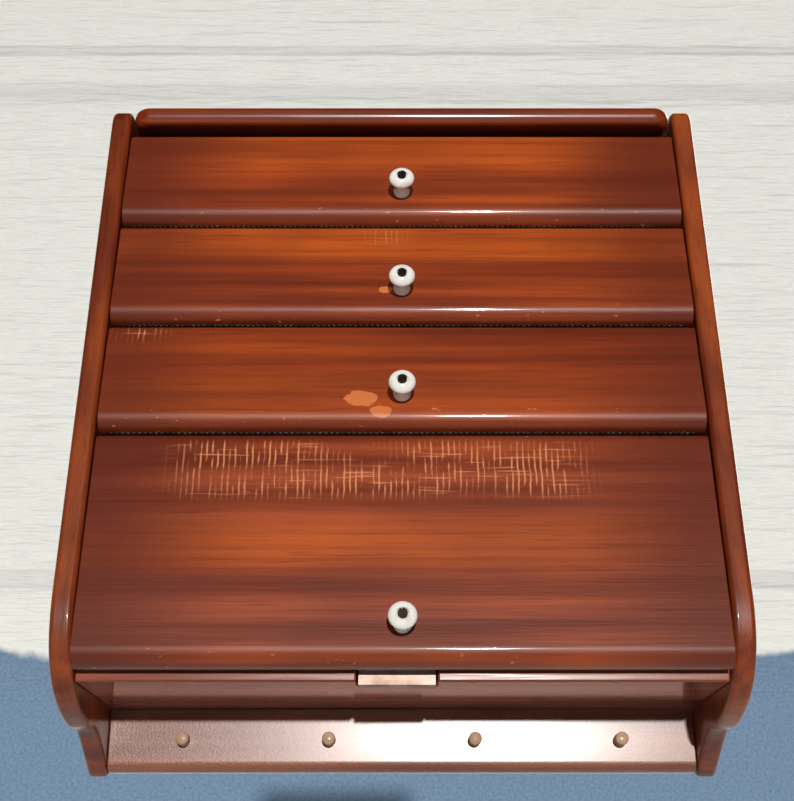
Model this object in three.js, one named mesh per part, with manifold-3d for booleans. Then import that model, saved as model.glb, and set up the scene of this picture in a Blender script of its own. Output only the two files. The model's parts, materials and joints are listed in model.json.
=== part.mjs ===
// Wall-hung wooden kitchen roll dispenser, in millimetres.
// Three narrow flaps, hinged on pins at their top ends, cover shelves for rolls of foil,
// wrap and waxed paper, and each carries a toothed cutter under its lip. A taller door
// covers a rod for a towel roll and closes on a magnetic catch. A rail below has pegs.
//
// X runs to the right, the front faces -Y, and +Z is up. The wall is the plane Y = 0.
// The front slopes back, so the shelves get shallower towards the top.
// Heights are worked out from the foot of the side panels. The last group then puts the
// origin at the middle of the hanging rail's back face, where the wall holds the piece.

import * as THREE from 'three';
import { mergeVertices } from 'three/addons/utils/BufferGeometryUtils.js';
import Module from 'manifold-3d';

// Carcass
const overallWidth = 381;
const sideHeight = 420.2;
const topDepth = 85.6; // wall to the front edge, level with the top of the side panels
const frontSlope = THREE.MathUtils.degToRad(7.5); // the front leans back towards the top
const sideThickness = 12.7;
const sideEdgeRadius = 4.5;
const sideTopRadius = 12;
const topThickness = 12.7;
const topRise = 2.3; // the top board stands this far above the side panels
const topSetback = 1;
const topCornerRadius = 11;
const topNosingRadius = 5.8;
const shelfThickness = 9.5;
const bottomThickness = 12.7;
const bottomUnderside = 39.3;
const bottomSetback = 7; // back face of the towel door to this board's front edge
const backThickness = 4;
const housingDepth = 4.5; // grooves in the side panels that hold the shelves and the back

// Scrolled lower edge of the side panels, as heights above the foot and distances to the wall
const lobeTop = 88;
const lobeTurn = 46;
const lobeBase = 20.8;
const lobeWall = 70;
const cuspHeight = 21.8;
const cuspWall = 55;
const footWall = 4;

// Rails at the wall
const hangingRailHeight = 38;
const hangingRailThickness = 12.7;
const wallScrewSpacing = 203.2;
const wallScrewHoleRadius = 3.25;
const pegRailBottom = 1.9;
const pegRailThickness = 12.7;
const pegRailEdgeRadius = 6.3;

// Pegs
const pegCount = 4;
const pegSpacing = 88;
const pegRadius = 3.95;
const pegReach = 10;
const pegSeat = 9;

// Fronts: three flaps and the towel door
const frontThickness = 12.7;
const flapCount = 3;
const flapHeight = 70.3;
const frontGap = 3;
const topGap = 9.8; // top board to the first flap, down the slope
const doorBottom = 45.8; // height of the towel door's lower edge, at the line of the front
const frontEndGap = 0.8;
const lipForward = 3.3; // how far a lip stands ahead of its own top edge
const lipRadius = 9.5;
const frontTopRadius = 4;

// Pivot pins
const pivotDrop = 5; // below the top edge of a front
const pinRadius = 1.6;
const pinReach = 14; // into the front
const pinHeadRadius = 3;
const pinHeadThickness = 1.2;

// Knobs
const knobRise = 21; // above the lower edge of a front
const knobRadius = 7.9;
const knobHeadHalf = 4.1;
const knobReach = 17.5;
const knobCollarRadius = 5.2;
const knobCollarHeight = 1.8;
const knobNeckRadius = 4.2;
const knobDishRadius = 3.7;
const knobDishDepth = 1.6;
const knobScrewRadius = 1.6;
const knobScrewHeadRadius = 2.75;
const knobScrewHeadHeight = 1.6;
const knobScrewSeat = 9;
const screwSlotWidth = 0.8;
const screwSlotDepth = 0.7;

// Cutters
const cutterThickness = 0.6;
const cutterDepth = 6;
const cutterInset = 4.5; // from the end of the flap
const toothPitch = 3.3;
const toothDepth = 1.7;
const bradRadius = 0.6;
const bradHeadRadius = 1.2;
const bradHeadThickness = 0.4;
const bradLength = 9;
const bradInset = 28; // from the end of the flap
const bradBack = 2.2; // from the back face of the flap

// Towel rod and its sockets
const rodRadius = 9.5;
const rodJournalRadius = 4.5;
const rodShoulderGap = 1;
const rodWall = 57; // axis to the wall
const rodRise = 62; // axis above the bottom board
const socketThickness = 12;
const socketSize = 30;
const socketBase = 17; // below the axis

// Magnetic catch, in a notch of the bottom board, and its strike on the towel door
const catchOffset = -3;
const catchWidth = 42;
const catchDepth = 15.5;
const catchDrop = 1.2; // below the bottom board's underside
const catchSetback = 3; // behind the bottom board's front edge
const catchSideGap = 1.2;
const catchMouthWidth = 29;
const catchMouthHeight = 6.6;
const catchMouthDepth = 12;
const earReach = 9;
const earDepth = 11;
const earSetback = 2;
const earThickness = 1.2;
const poleThickness = 1.2;
const poleProud = 0.1; // ahead of the case, and still clear of the strike plate
const catchScrewRadius = 1.5;
const catchScrewHeadRadius = 2.6;
const catchScrewHeadHeight = 1.2;
const catchScrewSeat = 8;
const strikeWidth = 34;
const strikeHeight = 7;
const strikeThickness = 1.2;
const strikeScrewRadius = 1.3;
const strikeScrewHeadRadius = 2;
const strikeScrewHeadHeight = 0.8;
const strikeScrewSeat = 7;

// Clearances
const fitGap = 0.3; // between pieces that touch
const runGap = 0.35; // round a pin that turns, or that a front turns on
const doorRestGap = 0.4; // between the strike plate and the catch
const sweepGap = 1; // between a shelf and the top of the front that turns below it

// Worked-out places
const innerWidth = overallWidth - 2 * sideThickness;
const topBoardTop = sideHeight + topRise;
const topBoardUnderside = topBoardTop - topThickness;
const flapPitch = flapHeight + frontGap;
const frontLength = innerWidth - 2 * frontEndGap;
const pivotInset = frontThickness / 2 + lipForward;
const topArcY = frontThickness / 2 - frontTopRadius;
const topSweep = Math.hypot(topArcY, pivotDrop - frontTopRadius) + frontTopRadius;
const hangingRailMiddle = topBoardUnderside - fitGap - hangingRailHeight / 2;
const shelfBack = -backThickness - fitGap;
const bottomTop = bottomUnderside + bottomThickness;
const rodAxisHeight = bottomTop + rodRise;
const pegRailHeight = bottomUnderside - fitGap - pegRailBottom;

// y of the side panels' front edges at a height
function frontEdgeY(z) {
  return -(topDepth + (sideHeight - z) * Math.tan(frontSlope));
}

// Each front starts at a distance down the slope from the top board's underside
const fronts = [];
for (let n = 0; n < flapCount; n += 1) {
  fronts.push({ name: `flap_${n + 1}`, start: topGap + n * flapPitch, height: flapHeight });
}
const doorStart = topGap + flapCount * flapPitch;
const doorEnd = (topBoardUnderside - doorBottom) / Math.cos(frontSlope);
fronts.push({ name: 'towel_door', start: doorStart, height: doorEnd - doorStart });
for (const [index, front] of fronts.entries()) {
  const along = front.start + pivotDrop;
  const sine = Math.sin(frontSlope);
  const cosine = Math.cos(frontSlope);
  front.number = index + 1;
  front.pivotY = frontEdgeY(topBoardUnderside) - along * sine + pivotInset * cosine;
  front.pivotZ = topBoardUnderside - along * cosine - pivotInset * sine;
  front.reach = front.height - pivotDrop; // pivot to the lower edge
  front.lean = frontSlope + Math.asin(lipForward / (front.reach - lipRadius));
}
const door = fronts[flapCount];

// y of a front's back face at a height, and of the board edge that it closes against
function backFaceY(front, z) {
  const offset = frontThickness / 2 / Math.cos(front.lean);
  return front.pivotY + offset - (front.pivotZ - z) * Math.tan(front.lean);
}

function stopY(front, z) {
  return backFaceY(front, z) + fitGap;
}

// A point in a front's own leaning frame
function toFront(front, y, z) {
  const dy = y - front.pivotY;
  const dz = z - front.pivotZ;
  const sine = Math.sin(front.lean);
  const cosine = Math.cos(front.lean);
  return [dy * cosine - dz * sine, dy * sine + dz * cosine];
}

const bottomFrontY = backFaceY(door, bottomTop) + bottomSetback;
const catchFaceY = bottomFrontY + catchSetback;
const catchLow = bottomUnderside - catchDrop;
const catchTop = bottomTop + fitGap + earThickness;
const mouthMiddle = catchTop - earThickness - catchMouthHeight / 2;

// Booleans
const wasm = await Module();
wasm.setup();

function toSolid(geometry) {
  const bare = geometry.clone();
  bare.deleteAttribute('normal');
  bare.deleteAttribute('uv');
  const merged = mergeVertices(bare, 1e-4);
  return new wasm.Manifold(new wasm.Mesh({
    numProp: 3,
    vertProperties: new Float32Array(merged.attributes.position.array),
    triVerts: new Uint32Array(merged.index.array),
  }));
}

function toGeometry(solid) {
  const mesh = solid.getMesh();
  const geometry = new THREE.BufferGeometry();
  geometry.setAttribute('position', new THREE.BufferAttribute(mesh.vertProperties, 3));
  geometry.setIndex(new THREE.BufferAttribute(mesh.triVerts, 1));
  geometry.computeVertexNormals();
  return geometry;
}

function cut(geometry, tools) {
  let solid = toSolid(geometry);
  for (const tool of tools) {
    solid = solid.subtract(toSolid(tool));
  }
  return toGeometry(solid);
}

function join(geometry, other) {
  return toGeometry(toSolid(geometry).add(toSolid(other)));
}

// Basic forms
function block(low, high) {
  const size = high.map((value, axis) => value - low[axis]);
  const middle = high.map((value, axis) => (value + low[axis]) / 2);
  return new THREE.BoxGeometry(...size).translate(...middle);
}

// A (y, z) outline extruded along X, centred on X = 0, with rounded ends where asked
function acrossX(outline, length, edge = 0, curveSegments = 6) {
  const geometry = new THREE.ExtrudeGeometry(outline, {
    depth: length - 2 * edge,
    curveSegments,
    bevelEnabled: edge > 0,
    bevelThickness: edge,
    bevelSize: edge,
    bevelOffset: -edge,
    bevelSegments: 3,
  });
  geometry.translate(0, 0, edge - length / 2);
  const alongX = new THREE.Matrix4().makeBasis(
    new THREE.Vector3(0, 1, 0),
    new THREE.Vector3(0, 0, 1),
    new THREE.Vector3(1, 0, 0),
  );
  return geometry.applyMatrix4(alongX);
}

// A turned piece: its profile is [radius, distance] from the axis, along +Y before turning
function turned(profile, segments) {
  const points = profile.map(([radius, distance]) => new THREE.Vector2(radius, distance));
  return new THREE.LatheGeometry(points, segments);
}

function boreX(radius, from, to, y, z) {
  return new THREE.CylinderGeometry(radius, radius, to - from, 12)
    .rotateZ(Math.PI / 2)
    .translate((from + to) / 2, y, z);
}

function boreY(radius, from, to, x, z) {
  return new THREE.CylinderGeometry(radius, radius, to - from, 16)
    .translate(x, (from + to) / 2, z);
}

function boreZ(radius, from, to, x, y) {
  return new THREE.CylinderGeometry(radius, radius, to - from, 12)
    .rotateX(Math.PI / 2)
    .translate(x, y, (from + to) / 2);
}

// Headed pins and screws: the head's outer face is at distance 0 and the shank runs along +Y
function headed(headRadius, headThickness, shankRadius, length, segments = 12) {
  return turned([
    [0, 0], [headRadius, 0], [headRadius, headThickness],
    [shankRadius, headThickness], [shankRadius, length], [0, length],
  ], segments);
}

const finishes = {
  wood: new THREE.MeshStandardMaterial({ color: 0x7a3a1c, roughness: 0.35 }),
  darkWood: new THREE.MeshStandardMaterial({ color: 0x5a2415, roughness: 0.4 }),
  backing: new THREE.MeshStandardMaterial({ color: 0x6b4a32, roughness: 0.8 }),
  peg: new THREE.MeshStandardMaterial({ color: 0x9a8474, roughness: 0.4 }),
  porcelain: new THREE.MeshStandardMaterial({ color: 0xe9ecf0, roughness: 0.15 }),
  screw: new THREE.MeshStandardMaterial({ color: 0x2d2420, roughness: 0.45, metalness: 0.8 }),
  steel: new THREE.MeshStandardMaterial({ color: 0xb9bcc0, roughness: 0.35, metalness: 1 }),
  aluminium: new THREE.MeshStandardMaterial({ color: 0x9a9794, roughness: 0.45, metalness: 0.9 }),
  magnet: new THREE.MeshStandardMaterial({ color: 0x35322f, roughness: 0.7, metalness: 0.2 }),
};

function piece(name, geometry, material, position = [0, 0, 0]) {
  const mesh = new THREE.Mesh(geometry, material);
  mesh.name = name;
  mesh.position.set(...position);
  return mesh;
}

// Side panels
function sideOutline() {
  const past = sideEdgeRadius * 2; // the outline runs through the wall, and is cut there
  const outline = new THREE.Shape();
  const corner = frontEdgeY(sideHeight);
  const belowCorner = sideHeight - sideTopRadius;
  outline.moveTo(past, sideHeight);
  outline.lineTo(corner + sideTopRadius, sideHeight);
  outline.quadraticCurveTo(corner, sideHeight, frontEdgeY(belowCorner), belowCorner);
  outline.lineTo(frontEdgeY(lobeTop), lobeTop);
  outline.bezierCurveTo(frontEdgeY(lobeTurn), lobeTurn, -lobeWall - 42, lobeBase + 6.2, -lobeWall, lobeBase);
  outline.quadraticCurveTo(-lobeWall + 8, lobeBase - 0.2, -cuspWall, cuspHeight);
  outline.bezierCurveTo(-cuspWall + 13, cuspHeight - 0.3, -footWall - 22, cuspHeight / 2, -footWall, 0);
  outline.lineTo(past, -1);
  return outline;
}

// The boards between the side panels, as boxes in y and z; all but the bottom one are housed
function innerBoards() {
  const boards = fronts.slice(0, flapCount).map((front) => {
    const bottom = fronts[front.number].pivotZ + topSweep + sweepGap;
    const top = bottom + shelfThickness;
    return {
      name: `shelf_${front.number}`,
      housed: true,
      y: [stopY(front, top), shelfBack],
      z: [bottom, top],
    };
  });
  boards.push({
    name: 'bottom_board',
    housed: false,
    y: [bottomFrontY, shelfBack],
    z: [bottomUnderside, bottomTop],
  });
  boards.push({
    name: 'back_panel',
    housed: true,
    y: [-backThickness, 0],
    z: [bottomUnderside, hangingRailMiddle - hangingRailHeight / 2 - fitGap],
  });
  return boards;
}

// inward is +1 where the inside of the panel faces +X, and -1 where it faces -X
function sidePanel(inward) {
  const farPast = sideHeight;
  const tools = [block([-farPast, 0, -farPast], [farPast, farPast, sideHeight + farPast])];
  const inner = inward * sideThickness / 2;
  const outer = -inner;
  for (const board of innerBoards().filter(({ housed }) => housed)) {
    const xs = [inner - inward * housingDepth, inner + inward * housingDepth].sort((a, b) => a - b);
    tools.push(block(
      [xs[0], board.y[0] - fitGap, board.z[0] - fitGap],
      [xs[1], board.y[1] + fitGap, board.z[1] + fitGap],
    ));
  }
  for (const front of fronts) {
    const ends = [-sideThickness, sideThickness];
    tools.push(boreX(pinRadius + fitGap, ...ends, front.pivotY, front.pivotZ));
    const mouth = outer - inward * sideThickness;
    const seat = outer + inward * (pinHeadThickness + fitGap);
    const sink = [mouth, seat].sort((a, b) => a - b);
    tools.push(boreX(pinHeadRadius + fitGap, ...sink, front.pivotY, front.pivotZ));
  }
  return cut(acrossX(sideOutline(), sideThickness, sideEdgeRadius, 9), tools);
}

function sides() {
  const group = new THREE.Group();
  const x = (overallWidth - sideThickness) / 2;
  group.add(piece('left_side', sidePanel(1), finishes.wood, [-x, 0, 0]));
  group.add(piece('right_side', sidePanel(-1), finishes.wood, [x, 0, 0]));
  return group;
}

// Top board: rounded along the front and round its two front corners, square elsewhere
function topBoard() {
  const half = innerWidth / 2 - fitGap;
  const front = frontEdgeY(topBoardTop - topThickness / 2) + topSetback;
  const past = topNosingRadius * 2;
  const plan = new THREE.Shape();
  plan.moveTo(half, past);
  plan.lineTo(-half, past);
  plan.lineTo(-half, front + topCornerRadius);
  plan.absarc(-half + topCornerRadius, front + topCornerRadius, topCornerRadius, Math.PI, 1.5 * Math.PI);
  plan.lineTo(half - topCornerRadius, front);
  plan.absarc(half - topCornerRadius, front + topCornerRadius, topCornerRadius, 1.5 * Math.PI, 2 * Math.PI);
  const nosed = new THREE.ExtrudeGeometry(plan, {
    depth: topThickness - 2 * topNosingRadius,
    curveSegments: 5,
    bevelThickness: topNosingRadius,
    bevelSize: topNosingRadius,
    bevelOffset: -topNosingRadius,
    bevelSegments: 4,
  });
  nosed.translate(0, 0, topNosingRadius - topThickness / 2);
  const squareStart = front + topCornerRadius + topNosingRadius;
  const square = block([-half, squareStart, -topThickness / 2], [half, past, topThickness / 2]);
  const wall = block([-innerWidth, 0, -topThickness], [innerWidth, 2 * past, topThickness]);
  const board = cut(join(nosed, square), [wall]);
  return piece('top_board', board, finishes.wood, [0, 0, topBoardTop - topThickness / 2]);
}

function boards() {
  const group = new THREE.Group();
  for (const board of innerBoards()) {
    const reach = board.housed ? housingDepth - fitGap : -fitGap;
    const half = innerWidth / 2 + reach;
    let form = block([-half, board.y[0], board.z[0]], [half, board.y[1], board.z[1]]);
    if (board.name === 'bottom_board') {
      form = cut(form, catchTools());
    }
    const finish = board.name === 'back_panel' ? finishes.backing : finishes.darkWood;
    group.add(piece(board.name, form, finish));
  }
  return group;
}

// Rails
function hangingRail() {
  const half = innerWidth / 2 - fitGap;
  const rail = block(
    [-half, -hangingRailThickness, -hangingRailHeight / 2],
    [half, 0, hangingRailHeight / 2],
  );
  const holes = [-1, 1].map((side) => boreY(
    wallScrewHoleRadius,
    -2 * hangingRailThickness,
    hangingRailThickness,
    side * wallScrewSpacing / 2,
    0,
  ));
  return piece('hanging_rail', cut(rail, holes), finishes.darkWood, [0, 0, hangingRailMiddle]);
}

function pegPlaces() {
  const first = -pegSpacing * (pegCount - 1) / 2;
  return Array.from({ length: pegCount }, (_, n) => first + n * pegSpacing);
}

function pegRail() {
  const outline = new THREE.Shape();
  const face = -pegRailThickness;
  outline.moveTo(0, 0);
  outline.lineTo(0, pegRailHeight);
  outline.lineTo(face, pegRailHeight);
  outline.lineTo(face, pegRailEdgeRadius);
  outline.absarc(face + pegRailEdgeRadius, pegRailEdgeRadius, pegRailEdgeRadius, Math.PI, 1.5 * Math.PI);
  const holes = pegPlaces().map((x) => boreY(
    pegRadius + fitGap,
    face - pegSeat,
    face + pegSeat + fitGap,
    x,
    pegRailHeight / 2,
  ));
  const rail = cut(acrossX(outline, innerWidth - 2 * fitGap), holes);
  const group = new THREE.Group();
  group.position.z = pegRailBottom;
  group.add(piece('peg_rail', rail, finishes.darkWood));
  for (const [index, x] of pegPlaces().entries()) {
    const end = pegSeat + pegReach;
    const easing = pegRadius / 5;
    const peg = turned([
      [0, 0], [pegRadius, 0], [pegRadius, end - easing], [pegRadius - easing, end], [0, end],
    ], 16);
    peg.rotateX(Math.PI); // the lathe's +Y becomes -Y, out of the rail
    group.add(piece(`peg_${index + 1}`, peg, finishes.peg, [x, face + pegSeat, pegRailHeight / 2]));
  }
  return group;
}

// Fronts, each in a frame of its own, whose origin is on its pivot and which leans with it
function frontSection(front) {
  const half = frontThickness / 2;
  const outline = new THREE.Shape();
  outline.moveTo(half, -front.reach);
  outline.lineTo(half, pivotDrop);
  outline.lineTo(-half + frontTopRadius, pivotDrop);
  outline.absarc(-half + frontTopRadius, pivotDrop - frontTopRadius, frontTopRadius, Math.PI / 2, Math.PI);
  outline.lineTo(-half, -front.reach + lipRadius);
  outline.absarc(-half + lipRadius, -front.reach + lipRadius, lipRadius, Math.PI, 1.5 * Math.PI);
  return outline;
}

function bradPlaces() {
  const x = frontLength / 2 - bradInset;
  return [['left', -x], ['right', x]];
}

const bradY = frontThickness / 2 - bradBack;

function frontBoard(front, hasCutter) {
  const half = frontThickness / 2;
  const tools = [];
  for (const side of [-1, 1]) {
    const mouth = side * frontLength;
    const end = side * (innerWidth / 2 - pinReach - fitGap);
    const bore = [mouth, end].sort((a, b) => a - b);
    tools.push(boreX(pinRadius + runGap, ...bore, 0, 0));
  }
  const knobZ = knobRise - front.reach;
  tools.push(boreY(knobScrewRadius + fitGap, -frontThickness, knobScrewSeat + fitGap - half, 0, knobZ));
  if (hasCutter) {
    for (const [, x] of bradPlaces()) {
      const top = bradLength + fitGap - cutterThickness - front.reach;
      tools.push(boreZ(bradRadius + fitGap, -front.reach - bradLength, top, x, bradY));
    }
  } else {
    const seat = strikeFace - strikeScrewLength - fitGap;
    tools.push(boreY(strikeScrewRadius + fitGap, seat, frontThickness, catchOffset, strikeZ));
  }
  return cut(acrossX(frontSection(front), frontLength), tools);
}

// Knob, turned on an axis that runs out of the front face
function knobProfile() {
  const bore = knobScrewRadius + fitGap;
  const crown = knobReach - knobHeadHalf;
  const dishFloor = knobReach - knobDishDepth;
  const profile = new THREE.Path();
  profile.moveTo(bore, fitGap);
  profile.lineTo(knobCollarRadius, fitGap);
  profile.lineTo(knobCollarRadius, knobCollarHeight);
  const waist = (knobCollarHeight + crown - knobHeadHalf) / 2;
  const neckEnd = crown - knobHeadHalf * Math.cos(Math.PI / 5);
  const neckRadius = knobRadius * Math.sin(Math.PI / 5);
  profile.quadraticCurveTo(knobNeckRadius - 0.9, waist, neckRadius, neckEnd);
  const start = -Math.PI / 2 + Math.PI / 5;
  const end = Math.acos(knobDishRadius / knobRadius);
  profile.absellipse(0, crown, knobRadius, knobHeadHalf, start, end, false);
  profile.lineTo(knobDishRadius - 0.5, dishFloor);
  profile.lineTo(bore, dishFloor);
  const points = profile.getPoints(5).map((point) => [point.x, point.y]);
  points.push([bore, fitGap]);
  return points;
}

function knobParts(front) {
  const dishFloor = knobReach - knobDishDepth;
  const face = -frontThickness / 2;
  const z = knobRise - front.reach;
  const knob = turned(knobProfile(), 16).rotateX(Math.PI);
  const length = dishFloor + fitGap + knobScrewHeadHeight + knobScrewSeat;
  const screw = headed(knobScrewHeadRadius, knobScrewHeadHeight, knobScrewRadius, length);
  const slot = block(
    [-knobRadius, -1, -screwSlotWidth / 2],
    [knobRadius, screwSlotDepth, screwSlotWidth / 2],
  );
  const headFace = face - dishFloor - fitGap - knobScrewHeadHeight;
  return [
    piece(`knob_${front.number}`, knob, finishes.porcelain, [0, face, z]),
    piece(`knob_screw_${front.number}`, cut(screw, [slot]), finishes.screw, [0, headFace, z]),
  ];
}

function cutterParts(front) {
  const half = frontLength / 2 - cutterInset;
  const teeth = Math.round(2 * half / toothPitch);
  const pitch = 2 * half / teeth;
  const back = frontThickness / 2 - fitGap;
  const valley = back - cutterDepth + toothDepth;
  const strip = new THREE.Shape();
  strip.moveTo(half, back);
  strip.lineTo(-half, back);
  strip.lineTo(-half, valley);
  for (let n = 0; n < teeth; n += 1) {
    strip.lineTo(-half + (n + 0.5) * pitch, valley - toothDepth);
    strip.lineTo(-half + (n + 1) * pitch, valley);
  }
  const blade = new THREE.ExtrudeGeometry(strip, { depth: cutterThickness, bevelEnabled: false });
  const places = bradPlaces();
  const holes = places.map(([, x]) => boreZ(bradHeadRadius + fitGap, -1, 2 * cutterThickness, x, bradY));
  const top = -front.reach - fitGap;
  const place = [0, 0, top - cutterThickness];
  const pieces = [piece(`cutter_${front.number}`, cut(blade, holes), finishes.steel, place)];
  for (const [side, x] of places) {
    const brad = headed(bradHeadRadius, bradHeadThickness, bradRadius, bradLength, 8).rotateX(Math.PI / 2);
    const name = `cutter_brad_${front.number}_${side}`;
    pieces.push(piece(name, brad, finishes.steel, [x, bradY, top - cutterThickness]));
  }
  return pieces;
}

// Magnetic catch
function catchScrewPlaces() {
  const y = catchFaceY + earSetback + earDepth / 2;
  return [-1, 1].map((side) => [catchOffset + side * (catchWidth + earReach) / 2, y]);
}

const catchScrewShank = earThickness + fitGap + catchScrewSeat;

// The notch and the screw holes in the bottom board
function catchTools() {
  const half = catchWidth / 2 + catchSideGap;
  const notch = block(
    [catchOffset - half, bottomFrontY - catchDepth, bottomUnderside - bottomThickness],
    [catchOffset + half, catchFaceY + catchDepth + fitGap, bottomTop + bottomThickness],
  );
  const floor = bottomTop - catchScrewSeat - fitGap;
  const holes = catchScrewPlaces().map(([x, y]) => boreZ(
    catchScrewRadius + fitGap,
    floor,
    bottomTop + bottomThickness,
    x,
    y,
  ));
  return [notch, ...holes];
}

function catchParts() {
  const group = new THREE.Group();
  const body = block(
    [catchOffset - catchWidth / 2, catchFaceY, catchLow],
    [catchOffset + catchWidth / 2, catchFaceY + catchDepth, catchTop],
  );
  const earHalf = catchWidth / 2 + earReach;
  const ears = block(
    [catchOffset - earHalf, catchFaceY + earSetback, catchTop - earThickness],
    [catchOffset + earHalf, catchFaceY + earSetback + earDepth, catchTop],
  );
  const mouth = block(
    [catchOffset - catchMouthWidth / 2, catchFaceY - catchDepth, mouthMiddle - catchMouthHeight / 2],
    [catchOffset + catchMouthWidth / 2, catchFaceY + catchMouthDepth, mouthMiddle + catchMouthHeight / 2],
  );
  const holes = catchScrewPlaces().map(([x, y]) => boreZ(
    catchScrewRadius + fitGap,
    catchLow,
    catchTop + catchDepth,
    x,
    y,
  ));
  group.add(piece('catch_case', cut(join(body, ears), [mouth, ...holes]), finishes.aluminium));

  const stackHalf = catchMouthWidth / 2 - fitGap;
  const stackBack = catchFaceY + catchMouthDepth - fitGap;
  const lowest = mouthMiddle - catchMouthHeight / 2 + fitGap;
  const highest = mouthMiddle + catchMouthHeight / 2 - fitGap;
  const layer = (name, from, to, front, finish) => group.add(piece(name, block(
    [catchOffset - stackHalf, front, from],
    [catchOffset + stackHalf, stackBack, to],
  ), finish));
  layer('catch_pole_lower', lowest, lowest + poleThickness, catchFaceY - poleProud, finishes.steel);
  layer('catch_pole_upper', highest - poleThickness, highest, catchFaceY - poleProud, finishes.steel);
  const magnetLow = lowest + poleThickness + fitGap;
  const magnetHigh = highest - poleThickness - fitGap;
  layer('catch_magnet', magnetLow, magnetHigh, catchFaceY + 2, finishes.magnet);

  for (const [index, [x, y]] of catchScrewPlaces().entries()) {
    const length = catchScrewHeadHeight + fitGap + catchScrewShank;
    const screw = headed(catchScrewHeadRadius, catchScrewHeadHeight, catchScrewRadius, length);
    screw.rotateX(-Math.PI / 2);
    const side = index === 0 ? 'left' : 'right';
    const headTop = catchTop + fitGap + catchScrewHeadHeight;
    group.add(piece(`catch_screw_${side}`, screw, finishes.steel, [x, y, headTop]));
  }
  return group;
}

// Strike: a steel plate on a wooden block, in the towel door's own frame
const strikeMiddle = mouthMiddle - 0.2;
const strikeTop = strikeMiddle + strikeHeight / 2;
const [strikeFace] = toFront(door, catchFaceY - poleProud - doorRestGap, strikeTop);
const [, strikeZ] = toFront(door, catchFaceY, strikeMiddle);
const strikeBlockFace = strikeFace - strikeThickness - fitGap;
const strikeScrewLength = strikeFace - frontThickness / 2 + strikeScrewSeat;

function strikeParts() {
  const back = frontThickness / 2 + fitGap;
  const half = strikeWidth / 2;
  const wood = block([-half, back, -strikeHeight / 2], [half, strikeBlockFace, strikeHeight / 2]);
  const woodHole = boreY(strikeScrewRadius + fitGap, 0, 2 * frontThickness, 0, 0);
  const plate = block(
    [-half, strikeFace - strikeThickness, -strikeHeight / 2],
    [half, strikeFace, strikeHeight / 2],
  );
  const plateHole = boreY(strikeScrewHeadRadius + fitGap, 0, 2 * frontThickness, 0, 0);
  const screw = headed(strikeScrewHeadRadius, strikeScrewHeadHeight, strikeScrewRadius, strikeScrewLength);
  screw.rotateX(Math.PI);
  return [
    piece('strike_block', cut(wood, [woodHole]), finishes.darkWood, [catchOffset, 0, strikeZ]),
    piece('strike_plate', cut(plate, [plateHole]), finishes.steel, [catchOffset, 0, strikeZ]),
    piece('strike_screw', screw, finishes.steel, [catchOffset, strikeFace, strikeZ]),
  ];
}

function frontAssembly(front) {
  const group = new THREE.Group();
  group.position.set(0, front.pivotY, front.pivotZ);
  group.rotation.x = -front.lean;
  const hasCutter = front.number <= flapCount;
  group.add(piece(front.name, frontBoard(front, hasCutter), finishes.wood));
  group.add(...knobParts(front));
  group.add(...(hasCutter ? cutterParts(front) : strikeParts()));
  return group;
}

// Pivot pins, driven from outside through the side panels
function pivotPins() {
  const group = new THREE.Group();
  const length = sideThickness + pinReach;
  for (const front of fronts) {
    for (const [side, sign] of [['left', -1], ['right', 1]]) {
      const pin = headed(pinHeadRadius, pinHeadThickness, pinRadius, length);
      pin.rotateZ(sign * Math.PI / 2); // shank towards the middle
      const place = [sign * overallWidth / 2, front.pivotY, front.pivotZ];
      group.add(piece(`${front.name}_pin_${side}`, pin, finishes.steel, place));
    }
  }
  return group;
}

// Towel rod: it turns in two sockets that are open at the top, so that it lifts out
function towelRod() {
  const group = new THREE.Group();
  group.position.set(0, -rodWall, rodAxisHeight);
  const bodyHalf = innerWidth / 2 - fitGap - socketThickness - rodShoulderGap;
  const endHalf = innerWidth / 2 - 2 * rodShoulderGap;
  const rod = turned([
    [0, -endHalf], [rodJournalRadius, -endHalf], [rodJournalRadius, -bodyHalf], [rodRadius, -bodyHalf],
    [rodRadius, bodyHalf], [rodJournalRadius, bodyHalf], [rodJournalRadius, endHalf], [0, endHalf],
  ], 20).rotateZ(Math.PI / 2);
  group.add(piece('towel_rod', rod, finishes.peg));
  const slotRadius = rodJournalRadius + runGap;
  for (const [side, sign] of [['left', -1], ['right', 1]]) {
    const low = [-socketThickness / 2, -socketSize / 2, -socketBase];
    const high = [socketThickness / 2, socketSize / 2, socketSize - socketBase];
    const seat = boreX(slotRadius, -socketThickness, socketThickness, 0, 0);
    const slot = block([-socketThickness, -slotRadius, 0], [socketThickness, slotRadius, socketSize]);
    const x = sign * (innerWidth / 2 - fitGap - socketThickness / 2);
    const socket = cut(block(low, high), [seat, slot]);
    group.add(piece(`rod_socket_${side}`, socket, finishes.darkWood, [x, 0, 0]));
  }
  return group;
}

const cabinet = new THREE.Group();
cabinet.add(sides(), topBoard(), boards(), hangingRail(), pegRail());
cabinet.add(...fronts.map(frontAssembly));
cabinet.add(pivotPins(), towelRod(), catchParts());
cabinet.position.z = -hangingRailMiddle;

const group = new THREE.Group();
group.add(cabinet);

export default group;
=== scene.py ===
import json
import math

import bpy
from mathutils import Matrix, Vector


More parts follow.
